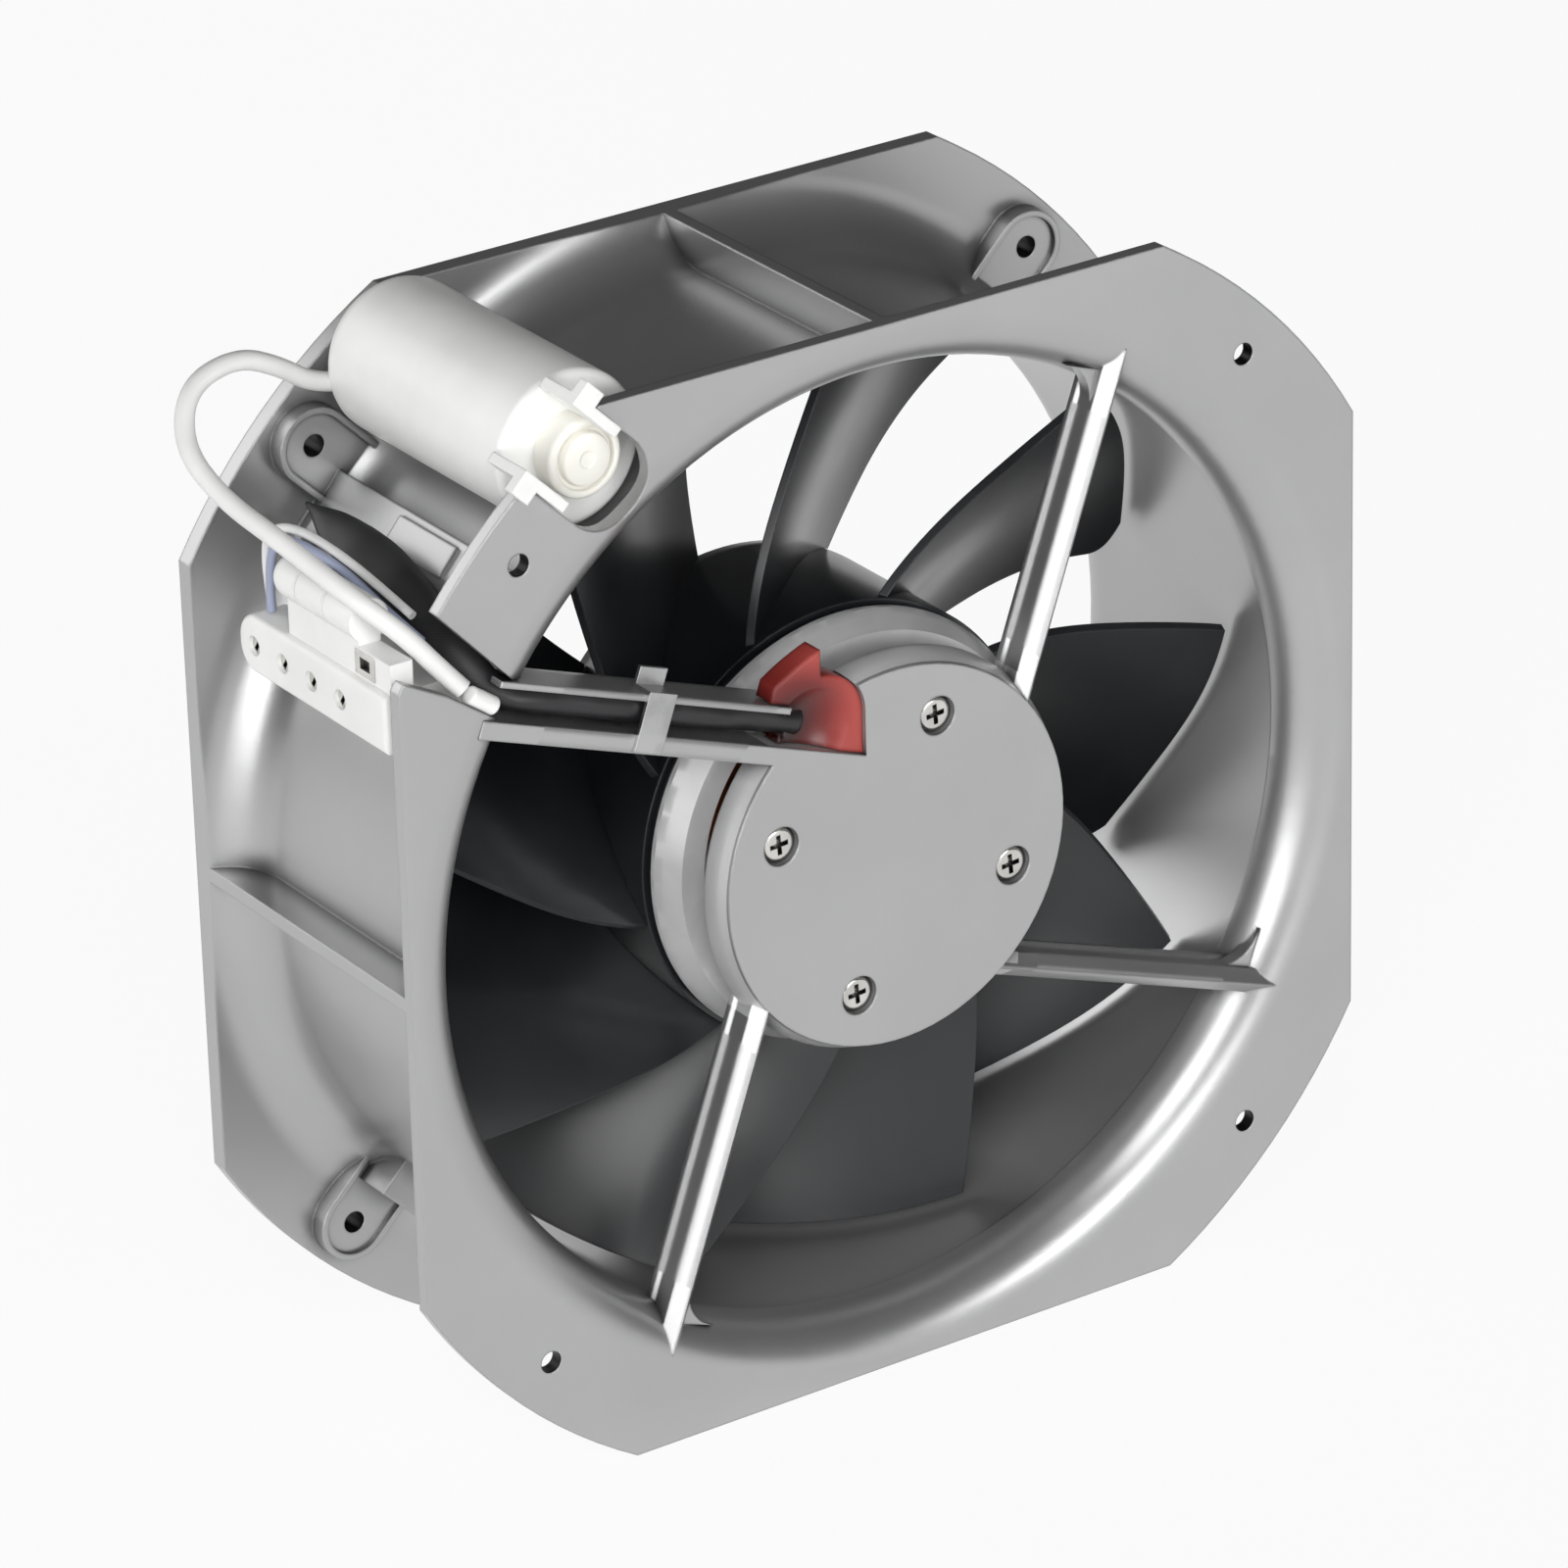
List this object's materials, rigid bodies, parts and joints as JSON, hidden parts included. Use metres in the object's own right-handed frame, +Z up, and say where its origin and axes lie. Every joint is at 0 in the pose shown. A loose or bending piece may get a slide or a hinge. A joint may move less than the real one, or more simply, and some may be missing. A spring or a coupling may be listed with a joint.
{
  "type": "axial cooling fan",
  "caption": "compact square-flange axial fan: cast aluminium housing with spokes and hub plate, external-rotor motor with a black sickle-blade impeller, run capacitor and terminal block",
  "frame": {"origin": "on the fan axis, in the plane of the front flange face, at the centre of the front mounting holes", "axes": "+X right seen from the front, +Y along the fan axis from the spoke side to the rear, +Z up"},
  "size_m": [0.2337, 0.0839, 0.2316],
  "materials": {
    "cast_aluminium": "satin die cast, light shot blast",
    "turned_aluminium": "turned, bright",
    "black_paint": "matte black paint",
    "zinc_steel": "bright zinc",
    "lamination_steel": "stacked sheet",
    "bearing_steel": "ground",
    "clip_steel": "satin",
    "cage_brass": "stamped",
    "copper": "enamelled wire",
    "insulator_white": "moulded",
    "white_plastic": "moulded, soft gloss",
    "white_wire": "smooth sheath",
    "blue_wire": "smooth sheath",
    "cable_black": "soft sleeve",
    "red_rubber": "soft gloss"
  },
  "bodies": {
    "root": {"cable_clip": "clip_steel", "cable_grommet": "red_rubber", "capacitor_boot": "cable_black", "capacitor_can": "white_plastic", "capacitor_lead": "white_wire", "capacitor_lugs": "white_plastic", "capacitor_plug": "white_plastic", "front_bearing_outer": "bearing_steel", "front_insulator": "insulator_white", "housing": "cast_aluminium", "hub_screws": "zinc_steel", "motor_cable": "cable_black", "phase_wires": "blue_wire", "preload_spring": "bearing_steel", "rear_bearing_outer": "bearing_steel", "rear_insulator": "insulator_white", "stator_core": "lamination_steel", "stator_flange": "cast_aluminium", "stator_winding": "copper", "terminal_block": "white_plastic", "terminal_clamp": "zinc_steel", "terminal_screws": "zinc_steel", "tie_ferrule": "white_plastic"},
    "impeller": {"rotor_core": "lamination_steel", "rotor_end_ring": "turned_aluminium", "rotor_cup": "black_paint", "blade_ring": "black_paint", "shaft": "bearing_steel", "retaining_ring": "bearing_steel", "front_bearing_inner": "bearing_steel", "rear_bearing_inner": "bearing_steel", "blade_1": "black_paint", "blade_2": "black_paint", "blade_3": "black_paint", "blade_4": "black_paint", "blade_5": "black_paint", "blade_6": "black_paint", "blade_7": "black_paint", "blade_8": "black_paint", "blade_9": "black_paint"},
    "front_balls": {"front_bearing_balls": "bearing_steel", "front_bearing_cage": "cage_brass"},
    "rear_balls": {"rear_bearing_balls": "bearing_steel", "rear_bearing_cage": "cage_brass"}
  },
  "joints": [
    {"name": "impeller_spin", "type": "hinge", "parent": "root", "child": "impeller", "pos_m": [0, 0.03, 0], "axis": [0, 1, 0], "continuous": true},
    {"name": "front_balls_orbit", "type": "hinge", "parent": "root", "child": "front_balls", "pos_m": [0, 0.0121, 0], "axis": [0, 1, 0], "continuous": true},
    {"name": "rear_balls_orbit", "type": "hinge", "parent": "root", "child": "rear_balls", "pos_m": [0, 0.0485, 0], "axis": [0, 1, 0], "continuous": true}
  ],
  "couplings": [
    {"joint": "front_balls_orbit", "follows": "impeller_spin", "ratio": 0.364},
    {"joint": "rear_balls_orbit", "follows": "impeller_spin", "ratio": 0.364}
  ]
}
